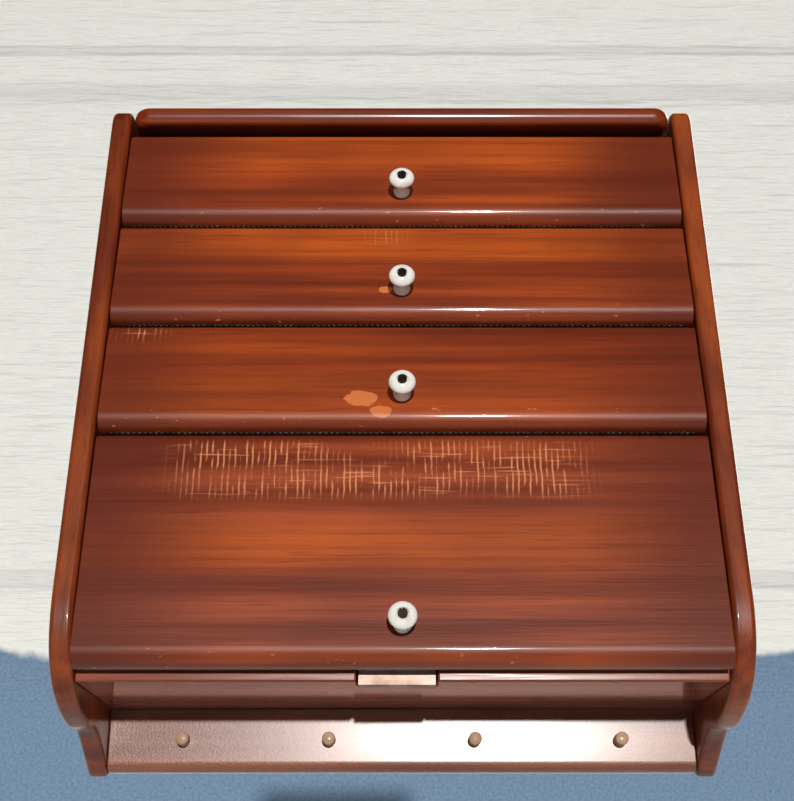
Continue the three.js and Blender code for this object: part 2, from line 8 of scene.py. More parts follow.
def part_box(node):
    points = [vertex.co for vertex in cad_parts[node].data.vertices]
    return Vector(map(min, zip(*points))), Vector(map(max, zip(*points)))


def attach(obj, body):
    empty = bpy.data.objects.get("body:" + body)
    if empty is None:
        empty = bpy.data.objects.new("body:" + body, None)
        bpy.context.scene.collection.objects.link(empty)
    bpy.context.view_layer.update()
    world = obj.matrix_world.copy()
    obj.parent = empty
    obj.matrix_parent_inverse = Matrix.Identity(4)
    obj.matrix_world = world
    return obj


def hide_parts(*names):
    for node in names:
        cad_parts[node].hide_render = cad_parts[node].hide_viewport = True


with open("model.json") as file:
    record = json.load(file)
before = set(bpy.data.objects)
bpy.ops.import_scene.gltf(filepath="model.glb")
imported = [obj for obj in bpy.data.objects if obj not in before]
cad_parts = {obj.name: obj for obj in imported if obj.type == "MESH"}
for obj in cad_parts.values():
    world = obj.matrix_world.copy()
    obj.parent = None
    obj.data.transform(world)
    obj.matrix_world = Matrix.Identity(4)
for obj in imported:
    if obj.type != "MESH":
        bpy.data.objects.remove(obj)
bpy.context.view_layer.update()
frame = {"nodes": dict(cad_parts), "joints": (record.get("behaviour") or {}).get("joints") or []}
scene = bpy.context.scene
pivots = {joint["child"]: Vector(joint["pos_m"]) * 1000 for joint in frame["joints"]}
nodeNames = set(frame["nodes"])

# Sizes are in millimetres. Heights are given from the foot of the side panels,
# and the frame's origin is this much higher.
originHeight = 390.5
casing = {"width": 381, "board": 12.7, "height": 420.2, "topDepth": 85.6, "slope": 7.5, "gap": 0.3}
slope = math.radians(casing["slope"])
outerHalf = casing["width"] / 2
innerHalf = outerHalf - casing["board"]
boardHalf = innerHalf - casing["gap"]


def frontEdge(z):
    return -(casing["topDepth"] + (casing["height"] - z) * math.tan(slope))


# Meshes
def arc(centre, radius, start, end, count, flatten=1.0):
    found = []
    for n in range(count + 1):
        angle = math.radians(start + (end - start) * n / count)
        across = centre[0] + radius * math.cos(angle)
        found.append((across, centre[1] + radius * flatten * math.sin(angle)))
    return found


def bezier(points, count):
    found = []
    for n in range(1, count + 1):
        t = n / count
        line = [Vector(p) for p in points]
        while len(line) > 1:
            line = [a.lerp(b, t) for a, b in zip(line, line[1:])]
        found.append(tuple(line[0]))
    return found


def newObject(name, vertices, faces, place=None, smooth=32):
    mesh = bpy.data.meshes.new(name)
    mesh.from_pydata([Vector(v) for v in vertices], [], faces)
    mesh.validate()
    mesh.transform(place or Matrix.Translation((0, 0, -originHeight)))
    mesh.transform(Matrix.Scale(0.001, 4))
    mesh.shade_smooth()
    mesh.set_sharp_from_angle(angle=math.radians(smooth))
    made = bpy.data.objects.new(name, mesh)
    scene.collection.objects.link(made)
    return made


def prismParts(outline, low, high, axis):
    area = sum(a[0] * b[1] - b[0] * a[1] for a, b in zip(outline, outline[1:] + outline[:1]))
    points = outline if area > 0 else outline[::-1]
    count = len(points)
    put = (lambda u, v, w: (w, u, v)) if axis == "x" else (lambda u, v, w: (u, v, w))
    vertices = [put(u, v, low) for u, v in points] + [put(u, v, high) for u, v in points]
    faces = [tuple(range(count))[::-1], tuple(range(count, 2 * count))]
    faces += [(n, (n + 1) % count, count + (n + 1) % count, count + n) for n in range(count)]
    return vertices, faces


def prism(name, outline, low, high, axis="x", place=None, smooth=32):
    return newObject(name, *prismParts(outline, low, high, axis), place, smooth)


def boxOutline(low, high):
    return [(low[0], low[1]), (high[0], low[1]), (high[0], high[1]), (low[0], high[1])]


def lathe(name, profile, turn, segments=48):
    count = len(profile)
    vertices, faces = [], []
    for s in range(segments):
        angle = 2 * math.pi * s / segments
        vertices += [(r * math.cos(angle), r * math.sin(angle), d) for r, d in profile]
    for s in range(segments):
        a, b = s * count, (s + 1) % segments * count
        faces += [(a + n, b + n, b + n + 1, a + n + 1) for n in range(count - 1)]
    return newObject(name, vertices, faces, turn)


def rounded(made, width, segments=3, angle=35):
    modifier = made.modifiers.new("edges", "BEVEL")
    modifier.width = width / 1000
    modifier.segments = segments
    modifier.limit_method = "ANGLE"
    modifier.angle_limit = math.radians(angle)
    modifier.harden_normals = True
    return made


def dress(made, material, body, nodes):
    made.data.materials.clear()
    made.data.materials.append(material)
    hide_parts(*[n for n in nodes if n in nodeNames])
    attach(made, body)
    return made


# Shader wiring
class Wire:
    def __init__(self, graph, socket):
        self.graph = graph
        self.socket = socket

    def __add__(self, other):
        return self.graph.maths("ADD", self, other)

    def __sub__(self, other):
        return self.graph.maths("SUBTRACT", self, other)

    def __rsub__(self, other):
        return self.graph.maths("SUBTRACT", other, self)

    def __mul__(self, other):
        return self.graph.maths("MULTIPLY", self, other)

    def __truediv__(self, other):
        return self.graph.maths("DIVIDE", self, other)

    def __rtruediv__(self, other):
        return self.graph.maths("DIVIDE", other, self)

    def __pow__(self, other):
        return self.graph.maths("POWER", self, other)

    def __rpow__(self, other):
        return self.graph.maths("POWER", other, self)

    __radd__ = __add__
    __rmul__ = __mul__

    def size(self):
        return self.graph.maths("ABSOLUTE", self)

    def wave(self):
        return self.graph.maths("SINE", self) * 0.5 + 0.5

    def step(self, low, high):
        inputs = {"Value": self, "From Min": low, "From Max": high}
        return self.graph.node("ShaderNodeMapRange", inputs, "Result", interpolation_type="SMOOTHSTEP")


class Graph:
    def __init__(self, name):
        self.material = bpy.data.materials.new(name)
        self.material.use_nodes = True
        self.tree = self.material.node_tree
        self.shader = self.tree.nodes["Principled BSDF"]

    def feed(self, socket, value):
        if isinstance(value, Wire):
            self.tree.links.new(value.socket, socket)
        else:
            socket.default_value = value

    def node(self, kind, inputs, output, **settings):
        made = self.tree.nodes.new(kind)
        for key, value in settings.items():
            setattr(made, key, value)
        for key, value in inputs.items():
            self.feed(made.inputs[key], value)
        return Wire(self, made.outputs[output])

    def maths(self, operation, *values):
        return self.node("ShaderNodeMath", dict(enumerate(values)), 0, operation=operation)

    def place(self):
        return self.node("ShaderNodeTexCoord", {}, "Object")

    def axis(self, name):
        return self.node("ShaderNodeSeparateXYZ", {0: self.place()}, name)

    def millimetres(self, name):
        return self.axis(name) * 1000

    def noise(self, scale, shift=(0, 0, 0), detail=3.0):
        stretch = {"Vector": self.place(), "Scale": scale, "Location": shift}
        place = self.node("ShaderNodeMapping", stretch, "Vector")
        inputs = {"Vector": place, "Scale": 1.0, "Detail": detail}
        return self.node("ShaderNodeTexNoise", inputs, "Fac")

    def mix(self, amount, first, second):
        inputs = {0: amount, 6: first, 7: second}  # the node's factor and its two colour sockets
        return self.node("ShaderNodeMix", inputs, 2, data_type="RGBA")

    def bump(self, height, distance):
        inputs = {"Height": height, "Distance": distance, "Strength": 0.6}
        self.feed(self.shader.inputs["Normal"], self.node("ShaderNodeBump", inputs, "Normal"))

    def finish(self, **values):
        for key, value in values.items():
            self.feed(self.shader.inputs[key], value)
        return self.material


def tone(red, green, blue):
    return tuple(((v / 255 + 0.055) / 1.055) ** 2.4 for v in (red, green, blue)) + (1.0,)


def tones(**colours):
    return {key: tone(*value) for key, value in colours.items()}


# Wear on the fronts: strokes left by the cutter teeth above, round patches, and chips along a lip
wear = {"strokePitch": 3.3, "crossing": 0.7, "patchHeight": 0.55, "patch": 0.8, "chips": 0.7}


def scratches(graph, seed, low, high, left, right, amount):
    x, z = graph.millimetres("X"), graph.millimetres("Z")
    inside = x.step(left - 12, left + 18) * (1 - x.step(right - 25, right + 12))
    inside = inside * z.step(low - 3, low + 9) * (1 - z.step(high - 3, high + 2))
    wobble = graph.noise((30, 30, 120), (seed, 0, 1), 2.0)
    strokes = (x * (2 * math.pi / wear["strokePitch"]) + wobble * 3).wave().step(0.68, 0.92)
    broken = graph.noise((330, 330, 45), (seed, 0, 3), 2.0).step(0.4, 0.55)
    crossing = graph.noise((26, 26, 560), (0, seed, 9), 1.0).step(0.6, 0.7)
    clumps = graph.noise((12, 24, 40), (seed, 7, 0), 4.0).step(0.34, 0.52)
    worn = inside * clumps * (strokes * broken + crossing * wear["crossing"]) * amount
    return graph.maths("MINIMUM", worn, 1.0)


def patch(graph, seed, x, z, size):
    across = (graph.millimetres("X") - x) / size
    upward = (graph.millimetres("Z") - z) / (size * wear["patchHeight"])
    ragged = graph.noise((120, 120, 210), (seed, 5, 5), 3.0) * 1.6 - 0.8
    return 1 - (across ** 2 + upward ** 2 + ragged).step(0.75, 0.95)


def lipChips(graph, seed, low, high):
    z = graph.millimetres("Z")
    band = z.step(low - 1.5, low + 0.5) * (1 - z.step(high - 0.5, high + 1.5))
    return band * graph.noise((170, 170, 420), (seed, 2, 5), 3.0).step(0.68, 0.74)


def wood(name, look):
    graph = Graph(name)
    seed, grain = look["seed"], look.get("grain", "x")
    along, narrow = 3, look.get("narrow", 95)
    scale = (along, narrow, narrow) if grain == "x" else (narrow, narrow, along)
    broad = graph.noise(tuple(v * 0.28 for v in scale), (seed, seed * 2, 0), 2.0)
    streaks = graph.noise(scale, (seed * 3, 0, seed), 5.0)
    pores = graph.noise(tuple(v * 7 for v in scale), (0, seed, seed * 5), 2.0)
    across = graph.axis("Z" if grain == "x" else "Y")
    rings = (across * 700 + broad * 30 + streaks * 4).wave()
    colour = graph.mix(streaks.step(0.3, 0.7), look["dark"], look["mid"])
    colour = graph.mix(broad.step(0.42, 0.66) * 0.7, colour, look["pale"])
    colour = graph.mix(rings ** 3 * 0.26, colour, look["dark"])
    blotch = graph.noise((7, 12, 15), (seed * 2, 1, seed), 2.0).step(0.44, 0.66)
    colour = graph.mix(blotch * 0.38, colour, look["shade"])
    colour = graph.mix(pores.step(0.56, 0.72) * 0.45, colour, look["dark"])
    if "ends" in look:
        reach, soft, amount = look["ends"]
        end = graph.millimetres("X").size() + (broad - 0.5) * 60
        colour = graph.mix(end.step(reach - soft, reach) * amount, colour, look["shade"])
    roughness = streaks * 0.12 + look.get("rough", 0.36)
    if "scratches" in look:
        worn = scratches(graph, seed, *look["scratches"])
        colour = graph.mix(worn, colour, look["bare"])
        roughness = roughness + worn * 0.25
    for x, z, size in look.get("patches", []):
        colour = graph.mix(patch(graph, seed, x, z, size) * wear["patch"], colour, look["chip"])
    if "lip" in look:
        colour = graph.mix(lipChips(graph, seed, *look["lip"]) * wear["chips"], colour, look["bare"])
    speckle = graph.noise((700, 700, 700), (seed, 1, 1), 2.0) * look.get("speckle", 0.0)
    graph.bump(streaks * 0.5 + pores * 0.5 + speckle, 0.0003)
    coat = look.get("coat", 0.35)
    if "coatBehind" in look:
        start = look["coatBehind"]
        coat = graph.millimetres("Y").step(start, start + 1) * coat
    return graph.finish(**{
        "Base Color": colour,
        "Roughness": roughness,
        "Specular IOR Level": look.get("specular", 0.3),
        "Coat Weight": coat,
        "Coat Roughness": look.get("coatRough", 0.07),
        "Coat IOR": look.get("coatIor", 1.5),
    })


def metal(name, colour, rough, tarnish):
    graph = Graph(name)
    cloud = graph.noise((90, 90, 90), (3, 1, 2), 4.0)
    brushed = graph.noise((40, 900, 900), (1, 1, 1), 2.0)
    shade = graph.mix(cloud.step(0.4, 0.75), tone(*colour), tone(*tarnish))
    return graph.finish(**{"Base Color": shade, "Metallic": 1.0, "Roughness": brushed * 0.2 + rough})


# Materials that several pieces share
amber = tones(
    dark=(98, 32, 8), mid=(158, 62, 14), pale=(188, 84, 18),
    shade=(88, 30, 14), bare=(206, 128, 84), chip=(205, 116, 62),
)
interior = wood("interiorWood", {
    **amber, **tones(dark=(62, 24, 14), mid=(100, 46, 27), pale=(122, 60, 36)),
    "seed": 11, "rough": 0.4,
})
paleWood = wood("paleWood", {
    **amber, **tones(dark=(146, 112, 88), mid=(184, 152, 124), pale=(205, 176, 148)),
    "seed": 4, "rough": 0.4, "coat": 0.4,
})
backingWood = wood("backingWood", {
    **amber, **tones(dark=(84, 58, 40), mid=(124, 92, 66), pale=(140, 106, 78)),
    "seed": 23, "rough": 0.7, "coat": 0.0, "narrow": 200,
})
porcelainGraph = Graph("porcelain")
glaze = porcelainGraph.noise((160, 160, 160), (2, 2, 2), 3.0)
porcelain = porcelainGraph.finish(**{
    "Base Color": porcelainGraph.mix(glaze.step(0.5, 0.75), tone(236, 234, 228), tone(219, 212, 200)),
    "Roughness": glaze * 0.08 + 0.08,
    "Coat Weight": 0.6,
})
magnetGraph = Graph("magnet")
grit = magnetGraph.noise((900, 900, 900), (0, 0, 1), 2.0)
magnet = magnetGraph.finish(**{
    "Base Color": magnetGraph.mix(grit, tone(34, 32, 31), tone(62, 58, 55)),
    "Roughness": 0.75,
})
steel = metal("steel", (196, 192, 184), 0.25, (140, 126, 108))
darkSteel = metal("darkSteel", (60, 50, 44), 0.4, (38, 31, 27))
aluminium = metal("aluminium", (188, 162, 150), 0.46, (146, 124, 112))
print("materials", flush=True)

# Side panels, each point of the foot being how far it is from the wall and its height
sidePanel = {"corner": 12, "edge": 4.4, "lobeTop": 88, "seeds": (31, 37)}
foot = {
    "turn": 46, "belly": (112, 27), "lobe": (70, 20.8), "lobeEnd": (62, 20.6),
    "cusp": (55, 21.8), "hollow": [(42, 21.5), (26, 10.9)], "heel": 4,
}


def sideOutline():
    height, corner = casing["height"], sidePanel["corner"]
    edge, below = frontEdge(height), height - corner
    points = [(0, height), (edge + corner, height)]
    points += bezier([points[-1], (edge, height), (frontEdge(below), below)], 10)
    start = (frontEdge(sidePanel["lobeTop"]), sidePanel["lobeTop"])
    bends = ("belly", "lobe", "lobeEnd", "cusp")
    belly, lobe, lobeEnd, cusp = ((-foot[key][0], foot[key][1]) for key in bends)
    points.append(start)
    points += bezier([start, (frontEdge(foot["turn"]), foot["turn"]), belly, lobe], 26)
    points += bezier([lobe, lobeEnd, cusp], 6)
    points += bezier([cusp] + [(-y, z) for y, z in foot["hollow"]] + [(-foot["heel"], 0)], 18)
    points.append((0, 0))
    return points


sideLook = {
    **amber, **tones(dark=(84, 28, 8), mid=(136, 56, 18), pale=(158, 74, 28)),
    "grain": "z", "rough": 0.34,
}
for name, sign, seed in zip(("left_side", "right_side"), (-1, 1), sidePanel["seeds"]):
    low, high = sorted((sign * innerHalf, sign * outerHalf))
    panel = rounded(prism(name + "_panel", sideOutline(), low, high), sidePanel["edge"], 6, 50)
    dress(panel, wood(name + "Wood", {**sideLook, "seed": seed}), "carcass", [name])
print("side panels", flush=True)

# Top board: a plan with two round front corners, and a bullnose all along the front
top = {"low": 409.8, "high": 422.5, "setback": 1, "corner": 11, "nose": 5.9, "backEase": 0.08}
topLook = {**amber, "seed": 41, "rough": 0.3, "coat": 0.8, "coatRough": 0.14, "specular": 0.5}
noseFront = frontEdge((top["low"] + top["high"]) / 2) + top["setback"]
cornerX, cornerY = boardHalf - top["corner"], noseFront + top["corner"]
plan = [(boardHalf, 0.0)]
plan += arc((cornerX, cornerY), top["corner"], 0, -90, 10)
plan += arc((-cornerX, cornerY), top["corner"], -90, -180, 10)
plan.append((-boardHalf, 0.0))
topBoard = prism("top_board_nosed", plan, top["low"], top["high"], "z", smooth=50)
weights = topBoard.data.attributes.new("bevel_weight_edge", "FLOAT", "EDGE")
for edge in topBoard.data.edges:
    a, b = (topBoard.data.vertices[i].co for i in edge.vertices)
    level = abs(a.z - b.z) < 1e-5
    forward = max(a.y, b.y) * 1000 < cornerY + 0.1
    if level:
        weights.data[edge.index].value = 1.0 if forward else top["backEase"]
nose = topBoard.modifiers.new("nose", "BEVEL")
nose.width = top["nose"] / 1000
nose.segments = 8
nose.limit_method = "WEIGHT"
nose.harden_normals = True
dress(topBoard, wood("topWood", topLook), "carcass", ["top_board"])

# Inner boards, from the bounds that the frame gives
innerBoards = {name: (interior, "carcass_wood") for name in ("shelf_1", "shelf_2", "shelf_3", "hanging_rail")}
innerBoards["back_panel"] = (backingWood, "backing")
for name, (material, slot) in innerBoards.items():
    low, high = (v * 1000 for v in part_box(name))
    reach = min(high.x, innerHalf - 0.1)
    outline = boxOutline((low.y, low.z + originHeight), (high.y, high.z + originHeight))
    board = prism(name + "_board", outline, -reach, reach)
    dress(rounded(board, 0.6, 2), material, "carcass", [name])

# Bottom board with the catch's notch; only its underside, behind the front edge, is glossy
notch = {"middle": -3, "half": 22.2, "gap": 0.3}
bottomLook = {
    **amber, **tones(dark=(120, 56, 38), mid=(172, 88, 60), pale=(188, 104, 74)),
    "seed": 53, "rough": 0.2, "coat": 1.0, "coatIor": 2.2, "coatBehind": -112,
}
boardLow, boardHigh = (v * 1000 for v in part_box("bottom_board"))
notchLeft, notchRight = notch["middle"] - notch["half"], notch["middle"] + notch["half"]
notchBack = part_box("catch_case")[1].y * 1000 + notch["gap"]
plan = [
    (-boardHalf, boardHigh.y), (-boardHalf, boardLow.y), (notchLeft, boardLow.y), (notchLeft, notchBack),
    (notchRight, notchBack), (notchRight, boardLow.y), (boardHalf, boardLow.y), (boardHalf, boardHigh.y),
]
bottomZ, topZ = boardLow.z + originHeight, boardHigh.z + originHeight
bottom = rounded(prism("bottom_board_notched", plan, bottomZ, topZ, "z"), 1.2, 3)
dress(bottom, wood("bottomWood", bottomLook), "carcass", ["bottom_board"])

# Peg rail, rounded along the front of its lower edge
railRadius = 6.3
railLook = {
    **amber, **tones(dark=(112, 62, 44), mid=(150, 92, 68), pale=(166, 106, 78)),
    "seed": 61, "rough": 0.36, "coat": 0.75, "coatRough": 0.25, "specular": 0.4, "speckle": 2.5,
}
railLow, railHigh = (v * 1000 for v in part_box("peg_rail"))
bottomZ, topZ = railLow.z + originHeight, railHigh.z + originHeight
section = [(0, bottomZ), (0, topZ), (railLow.y, topZ)]
section += arc((railLow.y + railRadius, bottomZ + railRadius), railRadius, 180, 270, 10)
rail = rounded(prism("peg_rail_board", section, -boardHalf, boardHalf), 0.7, 3, 50)
dress(rail, wood("railWood", railLook), "carcass", ["peg_rail"])
print("boards", flush=True)


# Things that repeat in a row: one node group, with every choice a named input
def rowGroup():
    tree = bpy.data.node_groups.new("row", "GeometryNodeTree")
    tree.interface.new_socket("Geometry", in_out="OUTPUT", socket_type="NodeSocketGeometry")
    for name, kind in (
        ("Piece", "Object"), ("Count", "Int"), ("Start", "Vector"), ("Step", "Vector"),
        ("Turn", "Float"), ("Seed", "Int"), ("Finish", "Material"),
    ):
        tree.interface.new_socket(name, in_out="INPUT", socket_type="NodeSocket" + kind)
    kinds = {
        "inputs": "NodeGroupInput", "line": "GeometryNodeMeshLine", "info": "GeometryNodeObjectInfo",
        "random": "FunctionNodeRandomValue", "spread": "GeometryNodeInstanceOnPoints",
        "real": "GeometryNodeRealizeInstances", "finish": "GeometryNodeSetMaterial",
        "out": "NodeGroupOutput", "negative": "ShaderNodeMath",
        "low": "ShaderNodeCombineXYZ", "high": "ShaderNodeCombineXYZ",
    }
    nodes = {key: tree.nodes.new(kind) for key, kind in kinds.items()}
    nodes["random"].data_type = "FLOAT_VECTOR"
    nodes["negative"].operation = "MULTIPLY"
    nodes["negative"].inputs[1].default_value = -1
    given = nodes["inputs"].outputs
    links = [
        (given["Count"], nodes["line"].inputs["Count"]),
        (given["Start"], nodes["line"].inputs["Start Location"]),
        (given["Step"], nodes["line"].inputs["Offset"]),
        (given["Piece"], nodes["info"].inputs["Object"]),
        (given["Turn"], nodes["negative"].inputs[0]),
        (given["Seed"], nodes["random"].inputs["Seed"]),
        (nodes["negative"].outputs[0], nodes["low"].inputs["Y"]),
        (given["Turn"], nodes["high"].inputs["Y"]),
        (nodes["low"].outputs[0], nodes["random"].inputs[0]),
        (nodes["high"].outputs[0], nodes["random"].inputs[1]),
        (nodes["line"].outputs[0], nodes["spread"].inputs["Points"]),
        (nodes["info"].outputs["Geometry"], nodes["spread"].inputs["Instance"]),
        (nodes["random"].outputs[0], nodes["spread"].inputs["Rotation"]),
        (nodes["spread"].outputs[0], nodes["real"].inputs[0]),
        (nodes["real"].outputs[0], nodes["finish"].inputs["Geometry"]),
        (given["Finish"], nodes["finish"].inputs["Material"]),
        (nodes["finish"].outputs[0], nodes["out"].inputs[0]),
    ]
    for start, end in links:
        tree.links.new(start, end)
    return tree


row = rowGroup()


def inRow(name, prototype, material, count, start, step, seed, turn=0.0, place=None):
    host = bpy.data.objects.new(name + "Host", bpy.data.meshes.new(name + "Host"))
    scene.collection.objects.link(host)
    modifier = host.modifiers.new("row", "NODES")
    modifier.node_group = row
    values = {
        "Piece": prototype, "Count": count, "Start": Vector(start) / 1000, "Step": Vector(step) / 1000,
        "Turn": turn, "Seed": seed, "Finish": material,
    }
    for item in row.interface.items_tree:
        if item.item_type == "SOCKET" and item.in_out == "INPUT":
            modifier[item.identifier] = values[item.name]
    bpy.context.view_layer.update()
    evaluated = host.evaluated_get(bpy.context.evaluated_depsgraph_get())
    mesh = bpy.data.meshes.new_from_object(evaluated)
    host.modifiers.remove(modifier)
    bpy.data.objects.remove(host)
    bpy.data.objects.remove(prototype)
    if place:
        mesh.transform(Matrix.Scale(0.001, 4) @ place @ Matrix.Scale(1000, 4))
    made = bpy.data.objects.new(name, mesh)
    scene.collection.objects.link(made)
    return made


# Pegs, each turned a little about its own axis
pegShape = {"radius": 3.95, "seat": 9, "reach": 10, "count": 4, "spacing": 88, "turn": 0.9, "seed": 5}
outward = Matrix.Rotation(math.radians(90), 4, "X")
radius, end = pegShape["radius"], pegShape["seat"] + pegShape["reach"]
profile = [(0, 0), (radius, 0), (radius, end - 0.9)]
profile += [(radius - 0.25, end - 0.35), (radius - 0.85, end), (0, end)]
peg = lathe("pegPattern", profile, outward, 32)
firstPeg = -pegShape["spacing"] * (pegShape["count"] - 1) / 2
start = (firstPeg, railLow.y + pegShape["seat"], (railLow.z + railHigh.z) / 2)
step = (pegShape["spacing"], 0, 0)
pegs = inRow("pegs", peg, paleWood, pegShape["count"], start, step, pegShape["seed"], pegShape["turn"])
dress(pegs, paleWood, "carcass", [f"peg_{n + 1}" for n in range(pegShape["count"])])

# Nail heads over the pivot pins, down each side
nailProfile = [(0, -0.9), (3.0, -0.9), (3.0, 0.2), (2.3, 0.66), (1.2, 0.93), (0, 1.0)]
fronts = ["flap_1", "flap_2", "flap_3", "towel_door"]
firstPivot = pivots["flap_1"]
stride = pivots["flap_2"] - firstPivot
for side, sign in (("left", -1), ("right", 1)):
    nail = lathe("nailPattern", nailProfile, Matrix.Rotation(sign * math.pi / 2, 4, "Y"), 20)
    start = (sign * outerHalf, firstPivot.y, firstPivot.z)
    heads = inRow(f"nail_heads_{side}", nail, darkSteel, len(fronts), start, stride, 3)
    dress(heads, darkSteel, "carcass", [f"{name}_pin_{side}" for name in fronts])
print("pegs and nails", flush=True)

# Fronts: each is made in its own leaning frame, with its origin on the pivot
front = {"thickness": 12.7, "lip": 9.5, "top": 4, "drop": 5, "forward": 3.3, "half": 177.0}
reaches = {"flap_1": 65.3, "flap_2": 65.3, "flap_3": 65.3, "towel_door": 132.44}
looks = {  # ends: reach, softness, amount; scratches: low, high, left, right, amount; patches: x, z, size
    "flap_1": {"seed": 1, "ends": (170, 95, 0.85), "lip": (-62, -52)},
    "flap_2": {
        "seed": 2, "ends": (172, 80, 0.7), "lip": (-133, -123),
        "scratches": (-80, -66, -20, 0, 0.8), "patches": [(-10, -112, 5)],
    },
    "flap_3": {
        "seed": 3, "ends": (172, 85, 0.75), "lip": (-204, -194),
        "scratches": (-149, -137, -168, -116, 0.8), "patches": [(-24, -187, 10), (-12, -196, 7)],
    },
    "towel_door": {
        "seed": 6, "ends": (172, 100, 0.85), "lip": (-347, -337), "mid": tone(150, 66, 34),
        "scratches": (-250, -214, -128, 104, 0.9),
    },
}
knob = {
    "rise": 21, "radius": 7.9, "half": 4.1, "reach": 17.5,
    "neck": 4.9, "base": 5.2, "hole": 1.0, "floor": 15.9,
}
screwShape = {  # slot: half its angle; turns: one for each knob
    "radius": 2.75, "length": 8.5, "slotFloor": 0.9, "top": 1.6, "slot": 10, "turns": (25, -40, 75, 10),
}
cutter = {
    "half": 172.5, "teeth": 105, "width": 4.3, "tip": 6.0, "toothHalf": 1.65, "thickness": 0.6,
    "inset": 0.3, "below": 0.9, "bradX": 149, "bradInset": 2.2,
}
bradProfile = [(0, -0.4), (1.2, -0.4), (1.2, 0.0), (0.8, 0.3), (0, 0.35)]


def knobProfile():
    crown = knob["reach"] - knob["half"]
    points = [(knob["hole"], 0.3), (knob["base"], 0.3), (knob["base"], 1.4), (knob["neck"], 1.9)]
    points += bezier([(knob["neck"], 1.9), (3.5, 4.6), (4.1, 7.6), (5.9, crown - 2.9)], 9)
    points += arc((0, crown), knob["radius"], -42, 62, 16, knob["half"] / knob["radius"])
    points += [(3.3, knob["reach"] - 0.9), (3.2, knob["floor"]), (knob["hole"], knob["floor"])]
    return points


def screwHead(name, place):
    radius, slot = screwShape["radius"], screwShape["slot"]
    floor, high = screwShape["slotFloor"], screwShape["top"]
    disc = arc((0, 0), radius, 0, 345, 23)
    right = arc((0, 0), radius, slot - 90, 90 - slot, 12)
    left = arc((0, 0), radius, slot + 90, 270 - slot, 12)
    parts = ((disc, -screwShape["length"], floor), (right, floor, high), (left, floor, high))
    vertices, faces = [], []
    for outline, start, end in parts:
        more, sides = prismParts(outline, start, end, "z")
        faces += [tuple(i + len(vertices) for i in side) for side in sides]
        vertices += more
    return newObject(name, vertices, faces, place)


def frontSection(reach):
    face = front["thickness"] / 2
    section = [(face, -reach), (face, front["drop"])]
    section += arc((-face + front["top"], front["drop"] - front["top"]), front["top"], 90, 180, 8)
    section += arc((-face + front["lip"], -reach + front["lip"]), front["lip"], 180, 270, 14)
    return section


def addKnob(name, number, reach, place):
    knobPlace = place @ Matrix.Translation((0, -front["thickness"] / 2, knob["rise"] - reach)) @ outward
    turned = lathe(f"knob_{number}_turned", knobProfile(), knobPlace, 56)
    dress(turned, porcelain, name, [f"knob_{number}"])
    turn = Matrix.Rotation(math.radians(screwShape["turns"][number - 1]), 4, "Z")
    screwPlace = knobPlace @ Matrix.Translation((0, 0, knob["floor"] + 0.2)) @ turn
    screw = rounded(screwHead(f"knob_screw_{number}_slotted", screwPlace), 0.15, 2)
    dress(screw, darkSteel, name, [f"knob_screw_{number}"])


def addCutter(name, number, reach, place):
    face = front["thickness"] / 2
    back, low = face - cutter["inset"], -reach - cutter["below"]
    half, thickness = cutter["half"], cutter["thickness"]
    pitch = 2 * half / cutter["teeth"]
    toothHalf, width = cutter["toothHalf"], cutter["width"]
    outline = [(-toothHalf, -width), (toothHalf, -width), (0, -cutter["tip"])]
    tooth = newObject("toothPattern", *prismParts(outline, 0, thickness, "z"), Matrix.Identity(4))
    start = (-half + pitch / 2, back, low)
    teeth = inRow(
        f"cutter_{number}_teeth", tooth, steel, cutter["teeth"], start, (pitch, 0, 0), 9, place=place)
    outline = boxOutline((back - width, low), (back, low + thickness))
    strip = prism(f"cutter_{number}_strip", outline, -half, half, "x", place)
    for made in (teeth, strip):
        dress(made, steel, name, [f"cutter_{number}"])
    brad = lathe("bradPattern", bradProfile, Matrix.Rotation(math.pi, 4, "X"), 16)
    start = (-cutter["bradX"], face - cutter["bradInset"], low)
    step = (2 * cutter["bradX"], 0, 0)
    brads = inRow(f"cutter_brads_{number}", brad, darkSteel, 2, start, step, 2, place=place)
    nodes = [f"cutter_brad_{number}_{side}" for side in ("left", "right")]
    dress(brads, darkSteel, name, nodes)


for number, name in enumerate(fronts, 1):
    reach = reaches[name]
    lean = slope + math.asin(front["forward"] / (reach - front["lip"]))
    place = Matrix.Translation(pivots[name]) @ Matrix.Rotation(-lean, 4, "X")
    board = prism(name + "_board", frontSection(reach), -front["half"], front["half"], "x", place)
    look = {**amber, **looks[name]}
    dress(rounded(board, 0.7, 3, 45), wood(name + "Wood", look), name, [name])
    addKnob(name, number, reach, place)
    if name != "towel_door":
        addCutter(name, number, reach, place)
print("fronts", flush=True)

# Towel rod, with its two thin ends
rodShape = {"radius": 9.5, "half": 164.2, "endRadius": 4.5, "endHalf": 175.8}
radius, half = rodShape["radius"], rodShape["half"]
endRadius, endHalf = rodShape["endRadius"], rodShape["endHalf"]
profile = [(0, -endHalf), (endRadius - 0.4, -endHalf), (endRadius, -endHalf + 0.5)]
profile += [(endRadius, -half), (radius - 0.5, -half), (radius, -half + 0.6)]
profile += [(r, -d) for r, d in profile[::-1]]
rodPlace = Matrix.Translation(pivots["towel_rod"]) @ Matrix.Rotation(math.pi / 2, 4, "Y")
rod = lathe("towel_rod_turned", profile, rodPlace, 40)
dress(rod, paleWood, "towel_rod", ["towel_rod"])

